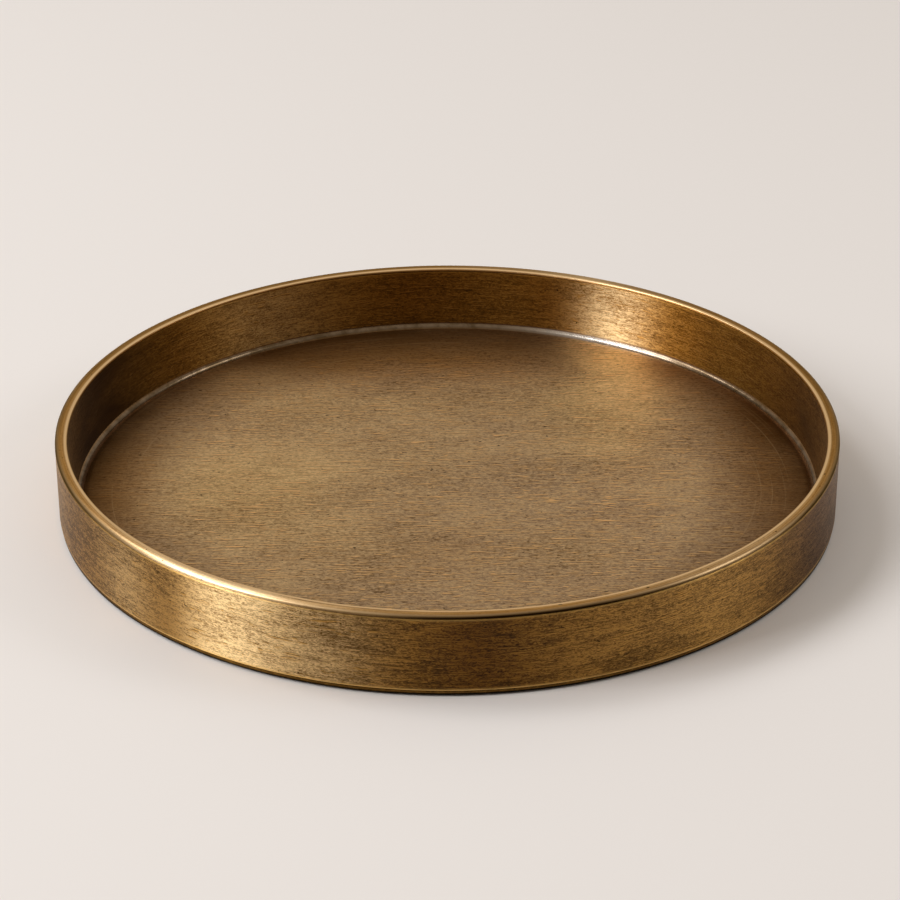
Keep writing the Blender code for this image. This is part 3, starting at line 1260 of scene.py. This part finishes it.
@dataclass
class InnerBand(TurnedPart):
    """The inner skin, which leans out from the floor to the rim."""

    node: str = "inner_band"
    slot: str = "inner_brass"
    # Brass with a brown patina, painted dark as shade at the sides and pale as a highlight at the
    # back right, which shows the light as long streaks.
    finish: Finish = AgedBrass(
        "inner_wall_brass",
        radius=144.0 * MM,
        deep="#2a1a04",
        patina="#704d1e",
        ground="#9a6d2e",
        bright="#bb8c42",
        rubbed_dark="#a0743a",
        rubbed_and_highlight="#f6dcac",
        thread="#d39f55",
        edge="#c08a3e",
        grime_and_shade="#3c2204",
        stain_and_shade="#b09468",
        roughness=0.54,
        anisotropy=0.9,
        layers=WALL_LAYERS,
        threads=WALL_THREADS,
        pit_level=0.73,
    )
    piece_name: str = "inner_wall"
    unevenness: float = 0.04 * MM
    seed: int = 17
    # Patches painted pale: the key light's highlight at the back right, and lighter bands
    # elsewhere.
    rubbed_and_highlight: tuple[Patch, ...] = (
        Patch(61.0, 6.5, 1.0),
        Patch(122.0, 11.0, 0.2),
        Patch(-100.0, 34.0, 0.4),
    )
    # Patches painted darker as shade, beside the highlight and at the sides.
    stained_and_shaded: tuple[Patch, ...] = (
        Patch(96.0, 15.0, 0.75),
        Patch(72.0, 6.0, 0.6),
        Patch(46.0, 8.0, 0.5),
        Patch(141.0, 9.0, 0.6),
    )
    # Painted shade: the sides of the inner wall painted nearly black.
    painted_shade: tuple[Patch, ...] = (
        Patch(165.0, 30.0, 0.9),
        Patch(12.0, 24.0, 0.65),
        Patch(42.0, 12.0, 0.35),
    )
    thickness: float = 1.0 * MM
    taper: float = 2.65 * MM
    arris: float = 0.3 * MM

    def face_radius(self, height: Measure) -> Measure:
        """Radius of the band's inner face.

        Args:
            height: A height, or many.

        Returns:
            The radius at each.
        """
        high, floor_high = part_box(self.node)[1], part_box("floor_plate")[1]
        lean = self.taper / (high.z - floor_high.z)
        return high.x - self.thickness - lean * (high.z - height)

    def outline(self) -> Outline:
        """Works out the band's section.

        Returns:
            The outline.
        """
        low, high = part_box(self.node)
        bottom_face, top_face = self.face_radius(low.z), high.x - self.thickness
        corners = [
            Corner(bottom_face + self.thickness, low.z),
            Corner(bottom_face, low.z),
            Corner(top_face, high.z, self.arris, self.arris),
            Corner(top_face + self.thickness, high.z),
        ]
        # The top arris painted a little bright, as wear and painted highlight.
        worn_and_glint = (Mark(top_face, high.z, fade=0.5 * MM, amount=0.3),)
        # Painted shade in the joint at the band's top, under the rim.
        grimy_and_shaded = (Mark(top_face + self.thickness, high.z, fade=0.5 * MM),)
        return Outline(corners, worn_and_glint, grimy_and_shaded)


@dataclass
class FootRing(TurnedPart):
    """The dull channel under the wall."""

    node: str = "foot_ring"
    slot: str = "foot_brass"
    # Brass that nobody polishes: dull brown, with a painted contact shadow, almost black, along
    # its lower outer edge.
    finish: Finish = AgedBrass(
        "foot_brass",
        patina="#5c4019",
        ground="#7f5c2a",
        bright="#9c7436",
        thread="#a87c3c",
        grime_and_shade="#0b0704",
        roughness=0.5,
        threads=Threads(share=0.3, shade_share=0.2),
    )
    piece_name: str = "foot_channel"
    steps: int = 512
    web: float = 1.5 * MM
    edge_round: float = 0.5 * MM
    leg_inset: float = 1.15 * MM
    outer_leg: float = 1.2 * MM
    inner_leg: float = 1.8 * MM
    inner_leg_inset: float = 7.64 * MM

    def outline(self) -> Outline:
        """Works out the channel's section.

        Returns:
            The outline.
        """
        low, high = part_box(self.node)
        floor_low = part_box("floor_plate")[0]
        web_top = low.z + self.web
        shelf = floor_low.z - JOINT_GAP
        leg_outside = high.x - self.leg_inset
        inner_outside = high.x - self.inner_leg_inset
        inner_inside = inner_outside - self.inner_leg
        corners = [
            Corner(inner_outside, web_top),
            Corner(inner_outside, shelf),
            Corner(inner_inside, shelf),
            Corner(inner_inside, low.z, self.edge_round, self.edge_round),
            Corner(high.x, low.z, self.edge_round, self.edge_round),
            Corner(high.x, web_top),
            Corner(leg_outside, web_top),
            Corner(leg_outside, high.z),
            Corner(leg_outside - self.outer_leg, high.z),
            Corner(leg_outside - self.outer_leg, web_top),
        ]
        # Painted contact shadow along the lower outer edge.
        return Outline(corners, grimy_and_shaded=(Mark(high.x, low.z, fade=0.9 * MM, amount=1.5),))


@dataclass(frozen=True)
class Spot:
    """An oval on the floor, in millimetres, painted lighter or darker as patina, stains, and
    painted light and shade.
    """

    x: float
    y: float
    half_width: float
    half_depth: float
    amount: float

    def strength(self, across: np.ndarray, along: np.ndarray) -> np.ndarray:
        """The amount times e to the minus squares of both ways from the centre over half sizes.

        Args:
            across: Places along X, in metres.
            along: Places along Y.

        Returns:
            One value for each place.
        """
        return self.amount * np.exp(
            -(((across - self.x * MM) / (self.half_width * MM)) ** 2)
            - (((along - self.y * MM) / (self.half_depth * MM)) ** 2)
        )


@dataclass
class FloorPlate(Part):
    """The disc that things stand on, a little uneven, with its edge bevelled for the solder.

    Its swell is long waves: one product of a wave along X and one along Y, and one slanting wave
    of a lower height. The calm slope is how steeply it dies away towards the edge.
    """

    node: str = "floor_plate"
    slot: str = "floor_brass"
    # Brass brushed along X: pale brown and cloudy, with golden threads, a border that darkens
    # towards the wall, painted reflections and highlights, and painted shade.
    finish: Finish = AgedBrass(
        "floor_brass",
        grain=Grain.ALONG_X,
        radius=130.0 * MM,
        grime_and_shade="#5c390c",
        stain_and_shade="#d2b684",
        thread="#f4c688",
        roughness=0.42,
        arcs=ARC_THREADS,
    )
    flat_inset: float = 2.3 * MM
    bevel_drop: float = 0.4 * MM
    unevenness: float = 0.05 * MM
    swell_lengths: tuple[float, float] = (31.0 * MM, 23.0 * MM)
    swell_starts: tuple[float, float] = (1.1, 0.4)
    slant_lengths: tuple[float, float] = (17.0 * MM, 26.0 * MM)
    slant_share: float = 0.6
    swell_share: float = 0.31
    calm_slope: float = 6.0
    # The floor darkens towards the wall from this radius on.
    darkening_start: float = 98.0 * MM
    grime_and_shade: float = 0.8
    # Spots painted pale: painted reflections of the lamps and of the bright inner wall, and
    # thinner patina.
    rubbed_and_highlight: tuple[Spot, ...] = (
        Spot(-80.0, -12.0, 36.0, 40.0, 1.25),
        Spot(-34.0, -52.0, 34.0, 22.0, 0.45),
        Spot(-20.0, 20.0, 44.0, 40.0, 0.4),
        Spot(-64.0, 56.0, 26.0, 22.0, 0.35),
        Spot(44.0, -58.0, 24.0, 16.0, 0.4),
        Spot(-92.0, 96.0, 22.0, 16.0, 0.5),
        Spot(69.0, 106.0, 18.0, 44.0, 1.0),
        Spot(66.0, 126.0, 20.0, 14.0, 1.0),
        Spot(94.0, 96.0, 24.0, 24.0, 0.25),
        Spot(64.0, 48.0, 26.0, 40.0, 0.85),
        Spot(5.0, 70.0, 95.0, 18.0, 0.4),
        Spot(-62.0, -84.0, 46.0, 16.0, 0.3),
    )
    # Spots painted darker and browner, as stains and painted shade.
    stained_and_shaded: tuple[Spot, ...] = (
        Spot(-15.0, 112.0, 100.0, 32.0, 0.85),
        Spot(-128.0, -10.0, 18.0, 50.0, 0.9),
        Spot(126.0, 10.0, 18.0, 80.0, 0.7),
        Spot(-2.0, -58.0, 22.0, 16.0, 0.25),
    )
    rings: int = 90
    steps: int = 512

    def face_height(self, radius: np.ndarray) -> np.ndarray:
        """Height of the floor's upper face, with its bevel and without its swell.

        Args:
            radius: Radii.

        Returns:
            The height at each.
        """
        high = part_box(self.node)[1]
        flat = high.x - self.flat_inset
        down = np.clip((radius - flat) / self.flat_inset, 0.0, 1.0)
        return high.z - self.bevel_drop * down

    def _swell(self, across: np.ndarray, along: np.ndarray) -> np.ndarray:
        """The long waves of the upper face, as the class describes them.

        Args:
            across: Places along X.
            along: Places along Y.

        Returns:
            One value for each place.
        """
        (wide, deep), (start_wide, start_deep) = self.swell_lengths, self.swell_starts
        slant_wide, slant_deep = self.slant_lengths
        return (
            np.sin(across / wide + start_wide) * np.sin(along / deep + start_deep)
            + self.slant_share * np.sin(across / slant_wide + along / slant_deep)
        )

    def build(self) -> Piece:
        """Builds the disc.

        The upper face is a polar grid. Its height is the floor's height less the swell, which
        fades to nothing at the bevel.

        Returns:
            The new object.
        """
        low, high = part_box(self.node)
        flat = high.x - self.flat_inset
        angle = round_axis(self.steps)
        face = flat * np.linspace(1.0, 0.0, self.rings, endpoint=False)[::-1]
        radius = np.concatenate((face, [high.x, high.x], face[::-1]))[None, :]
        top, bottom = np.full(self.rings, high.z), np.full(self.rings, low.z)
        height = np.concatenate((top, [high.z - self.bevel_drop, low.z], bottom))[None, :]
        across, along = radius * np.cos(angle), radius * np.sin(angle)
        calm = np.clip((1.0 - radius / flat) * self.calm_slope, 0.0, 1.0)
        swell = 0.5 + self.swell_share * self._swell(across, along)
        lowered = self.unevenness * calm * swell
        is_top = np.arange(radius.size)[None, :] < self.rings
        level = np.where(is_top, height - lowered, height)
        poles = np.array([(0.0, 0.0, high.z - 0.5 * self.unevenness), (0.0, 0.0, low.z)])
        points = np.concatenate((spun(angle, radius, level).reshape(-1, 3), poles))
        shape = across.shape
        piece = add_mesh("tray_floor", points, ring_faces(*shape, poles=True))
        self._map_brushing(piece)
        rubbed_and_highlight, stained_and_shaded = (
            sum(spot.strength(across, along) for spot in spots)
            for spots in (self.rubbed_and_highlight, self.stained_and_shaded)
        )
        # Where spots are painted pale, the darkening towards the wall and the darker spots are
        # held back.
        kept = np.clip(1.0 - rubbed_and_highlight, 0.0, 1.0)
        reach = np.clip((radius - self.darkening_start) / (flat - self.darkening_start), 0.0, 1.0)
        dirt_and_shade, film_and_shade = self.grime_and_shade * reach * kept, stained_and_shaded * kept
        turn = np.stack(np.broadcast_arrays(np.cos(angle), np.sin(angle), radius), axis=-1)
        set_attribute(piece, TURN, turn, (*shape, 3), np.eye(3)[:2])
        for name, values in (
            (GRIMY_AND_SHADED, dirt_and_shade), (WORN_AND_GLINT, np.zeros(1)), (RUBBED_AND_HIGHLIGHT, rubbed_and_highlight), (STAINED_AND_SHADED, film_and_shade)
        ):
            set_attribute(piece, name, values, shape, (0.0, 0.0))
        return piece

    def _map_brushing(self, piece: Piece) -> None:
        """Lays a UV map in metres whose first direction runs along the brushing.

        Args:
            piece: The disc.
        """
        mesh = piece.data
        places = np.empty(len(mesh.vertices) * 3, np.float32)
        mesh.vertices.foreach_get("co", places)
        corner = np.empty(len(mesh.loops), np.int32)
        mesh.loops.foreach_get("vertex_index", corner)
        flat = places.reshape(-1, 3)[corner, :2]
        mesh.uv_layers.new(name=BRUSHING).data.foreach_set("uv", flat.ravel())


@dataclass
class SolderBead(Part):
    """The hand-run bead in the corner of floor and wall.

    It sits deeper in its corner than the solid by the seat. Its lumps are many short waves and
    finer ones of a lower height, both slanting a little across the face. Flux browns its two
    edges, by a share that fades over a part of the face.
    """

    node: str = "solder_bead"
    slot: str = "solder"
    finish: Finish = SoftSolder()
    leg: float = 1.5 * MM
    bulge: float = 0.3 * MM
    seat: float = 0.25 * MM
    ripple: float = 0.04 * MM
    wave_counts: tuple[int, ...] = (7, 17, 29)
    wave_shares: tuple[float, ...] = (0.4, 0.35, 0.25)
    lump: float = 0.006 * MM
    lump_counts: range = range(60, 200)
    lump_slant: float = 0.004
    lump_seed: int = 23
    fine_share: float = 0.6
    fine_counts: range = range(150, 420)
    fine_slant: float = 0.01
    fine_seed: int = 29
    flux_share: float = 0.55
    flux_fade: float = 0.17
    # A painted highlight on the bead at the back right.
    rubbed_and_highlight: tuple[Patch, ...] = (Patch(64.0, 10.0, 0.5),)
    face_steps: int = 16
    steps: int = 2400

    def build(self) -> Piece:
        """Builds the bead.

        Its section has two straight legs and a face that bulges out as half a sine wave. The
        leg's length follows the solid's three waves round the tray, and lumps of a few
        millimetres stand on the face.

        Returns:
            The new object.
        """
        floor_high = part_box("floor_plate")[1]
        band, floor = InnerBand(), FloorPlate()
        angle = round_axis(self.steps)
        count, share = np.array(self.wave_counts), np.array(self.wave_shares)
        swell = self.ripple * (share * np.sin(count * angle + count)).sum(axis=1, keepdims=True)
        leg = self.leg + swell
        gap = JOINT_GAP - self.seat
        corner_radius = np.full_like(
            leg, band.face_radius(floor_high.z) - JOINT_GAP + self.seat
        )
        corner_height = floor.face_height(corner_radius) + gap
        top_height = floor_high.z + JOINT_GAP + leg + self.seat
        top_radius = band.face_radius(top_height) - gap
        toe_radius = corner_radius - leg - self.seat
        toe_height = floor.face_height(toe_radius) + gap
        along = np.linspace(0.0, 1.0, self.face_steps)[None, :]
        bulge = (self.bulge + self._lumps(angle, along)) * np.sin(math.pi * along)
        face_radius = toe_radius + (top_radius - toe_radius) * along - bulge
        face_height = toe_height + (top_height - toe_height) * along + bulge
        radius = np.concatenate((corner_radius, face_radius), axis=1)
        height = np.concatenate((corner_height, face_height), axis=1)
        shape = radius.shape
        piece = add_mesh("solder", spun(angle, radius, height), ring_faces(*shape))
        edge = sum(np.exp(-((way / self.flux_fade) ** 2)) for way in (along, 1.0 - along))
        worn_and_glint = np.concatenate((np.ones((1, 1)), self.flux_share * edge), axis=1)
        set_attribute(piece, WORN_AND_GLINT, worn_and_glint, shape)
        set_attribute(piece, RUBBED_AND_HIGHLIGHT, spread(angle, self.rubbed_and_highlight), shape)
        return piece

    def _lumps(self, angle: np.ndarray, along: np.ndarray) -> np.ndarray:
        """Height of the small lumps on the bead's face.

        Args:
            angle: Angles round the axis, one in each row.
            along: Shares across the face, one in each column.

        Returns:
            A grid of heights.
        """
        shifted = angle + self.lump_slant * np.sin(FULL_TURN * along)
        coarse = waves(shifted, self.lump_counts, self.lump_seed)
        fine = waves(shifted - along * self.fine_slant, self.fine_counts, self.fine_seed)
        return self.lump * (coarse + self.fine_share * fine)


@dataclass
class RubberFeet:
    """Four moulded feet under the floor."""

    nodes: tuple[str, ...] = ("rubber_foot_1", "rubber_foot_2", "rubber_foot_3", "rubber_foot_4")
    slot: str = "foot_rubber"
    finish: Finish = MouldedRubber()
    taper: float = 1.0 * MM
    edge_round: float = 0.8 * MM
    top_round: float = 0.2 * MM
    rings: int = 12
    steps: int = 96

    def build(self) -> list[Piece]:
        """Builds one turned foot at each CAD foot's place, in the order of their nodes."""
        return [self._foot(node) for node in self.nodes]

    def _foot(self, node: str) -> Piece:
        """Builds one foot: a tapered puck with a round lower edge, its two faces closed.

        Args:
            node: The CAD foot.

        Returns:
            The new object.
        """
        low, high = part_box(node)
        centre = (low + high) / 2.0
        wide = (high.x - low.x) / 2.0
        narrow = wide - self.taper
        turn = np.linspace(0.0, math.pi / 2.0, self.rings)
        share = np.linspace(0.0, 1.0, self.rings, endpoint=False)[1:]
        radius = np.concatenate((
            (wide - self.top_round) * share,
            wide - self.top_round * (1.0 - np.sin(turn)),
            narrow - self.edge_round * (1.0 - np.cos(turn)),
            (narrow - self.edge_round) * share[::-1],
        ))
        height = np.concatenate((
            np.full(len(share), high.z),
            high.z - self.top_round * (1.0 - np.cos(turn)),
            low.z + self.edge_round * (1.0 - np.sin(turn)),
            np.full(len(share), low.z),
        ))
        shape = (self.steps, len(radius))
        grid = spun(round_axis(self.steps), radius, height) + (centre.x, centre.y, 0.0)
        poles = np.array([(centre.x, centre.y, high.z), (centre.x, centre.y, low.z)])
        points = np.concatenate((grid.reshape(-1, 3), poles))
        name = node.replace("rubber_", "") + "_rubber"
        piece = add_mesh(name, points, ring_faces(*shape, poles=True))
        worn_and_glint = np.exp(-(((height - low.z) / self.edge_round) ** 2))
        set_attribute(piece, WORN_AND_GLINT, worn_and_glint, shape, (0.0, 1.0))
        return piece

    def dress(self, pieces: list[Piece]) -> None:
        """Gives the feet one rubber.

        Args:
            pieces: The feet, in the order of their nodes.
        """
        material = self.finish.material()
        for piece, node in zip(pieces, self.nodes):
            settle(piece, material, node)


@dataclass(frozen=True)
class SoftLight:
    """A soft light some way from the tray, facing it, and where it stands as seen from there.

    Its radiance is how bright its face is, where one is white paper in full light.
    """

    name: str
    direction: Way
    distance: float
    width: float
    height: float
    radiance: float
    colour: str = "#f9fbff"

    def stand(self) -> None:
        """Adds the light to the scene."""
        data = bpy.data.lights.new(self.name, "AREA")
        data.shape = "RECTANGLE"
        data.size, data.size_y = self.width, self.height
        data.energy = self.radiance * math.pi * self.width * self.height
        data.color = linear(self.colour)[:3]
        light = bpy.data.objects.new(self.name, data)
        heading = Vector(self.direction).normalized()
        light.location = heading * self.distance
        light.rotation_euler = heading.to_track_quat("Z", "Y").to_euler()
        bpy.context.scene.collection.objects.link(light)


@dataclass(frozen=True)
class Glow:
    """A brighter part of the room, round a direction.

    It is its radiance times the smooth step of the cosine from that direction, from its start
    to its full value.
    """

    direction: Way
    radiance: float
    start: float = -0.1
    full: float = 0.9


@dataclass
class Studio:
    """A pale seamless table, soft lights at the left, above and at the right, and the camera."""

    camera_place: Way = (0.0, -0.9953, 0.5268)
    camera_pitch: float = 0.4719
    camera_yaw: float = -0.001
    camera_roll: float = -0.002
    camera_reach: float = 50.0
    focal_pixels: float = 2889.3
    frame_pixels: float = 900.0
    sensor_width: float = 36.0
    table_radius: float = 5.0
    table_steps: int = 96
    table_colour: str = "#e7e2de"
    table_roughness: float = 0.9
    table_gloss: float = 0.2
    lights: tuple[SoftLight, ...] = (
        SoftLight("key", (-0.779, -0.284, 0.559), 3.0, 1.2, 1.4, 9.1),
        SoftLight("top", (-0.58, 0.2, 0.79), 3.0, 1.2, 1.2, 5.7),
        SoftLight("fill", (0.84, -0.02, 0.54), 2.5, 0.9, 0.9, 3.5),
    )
    glows: tuple[Glow, ...] = (
        Glow((0.0, 0.0, 1.0), 0.33),
        Glow((0.0, 0.97, 0.24), 0.28),
        Glow((0.0, -0.97, 0.24), 0.12),
    )
    room_dim: float = 0.05
    room_colour: str = "#fff5e8"

    def build(self) -> None:
        """Sets the camera, the table, the lights and the room."""
        self._camera()
        self._table()
        for light in self.lights:
            light.stand()
        self._room()
        bpy.context.scene.view_settings.view_transform = "Standard"

    def _camera(self) -> None:
        """Stands the camera where the photograph was taken from."""
        data = bpy.data.cameras.new("camera")
        data.sensor_width = self.sensor_width
        data.lens = self.focal_pixels / self.frame_pixels * self.sensor_width
        data.clip_end = self.camera_reach
        camera = bpy.data.objects.new("camera", data)
        turn = (
            Matrix.Rotation(self.camera_yaw, 4, "Z")
            @ Matrix.Rotation(math.pi / 2.0 - self.camera_pitch, 4, "X")
            @ Matrix.Rotation(self.camera_roll, 4, "Z")
        )
        camera.matrix_world = Matrix.Translation(self.camera_place) @ turn
        bpy.context.scene.collection.objects.link(camera)
        bpy.context.scene.camera = camera

    def _table(self) -> None:
        """Lays the table as a wide disc of matt paper, pale and even, under the feet."""
        ring = spun(round_axis(self.table_steps), np.array([self.table_radius]), 0.0)
        table = add_mesh("table", ring, [list(range(self.table_steps))])
        material = bpy.data.materials.new("matt_paper")
        material.use_nodes = True
        values = {
            "Base Color": linear(self.table_colour),
            "Roughness": self.table_roughness,
            "Specular IOR Level": self.table_gloss,
        }
        tree = material.node_tree
        wire(tree, tree.nodes["Principled BSDF"], values, {})
        table.data.materials.append(material)

    def _room(self) -> None:
        """Fills the room with plain light, as its glows over a dim room."""
        world = bpy.data.worlds.new("room")
        bpy.context.scene.world = world
        world.use_nodes = True
        tree = world.node_tree
        heading = add_node(tree, "ShaderNodeTexCoord").outputs["Generated"]
        total = None
        for glow in self.glows:
            cosine = add_node(
                tree,
                "ShaderNodeVectorMath",
                {"operation": "DOT_PRODUCT"},
                {1: glow.direction},
                {0: heading},
            )
            lit = add_node(
                tree,
                "ShaderNodeMapRange",
                {"interpolation_type": "SMOOTHSTEP"},
                {"From Min": glow.start, "From Max": glow.full, "To Max": glow.radiance},
                {"Value": cosine.outputs["Value"]},
            ).outputs[0]
            links = {0: lit} if total is None else {0: lit, 1: total}
            total = add_node(
                tree, "ShaderNodeMath", {"operation": "ADD"}, {1: self.room_dim}, links
            ).outputs[0]
        values = {"Color": linear(self.room_colour)}
        wire(tree, tree.nodes["Background"], values, {"Strength": total})


def main() -> None:
    """Builds and dresses every sub-assembly from the foot ring up, then the studio."""
    logging.basicConfig(level=logging.INFO, format="%(name)s %(message)s")
    for part in (
        FootRing(), OuterBand(), InnerBand(), RimRing(), FloorPlate(), SolderBead(), RubberFeet()
    ):
        part.dress(part.build())
    Studio().build()


if __name__ == "__main__":
    main()
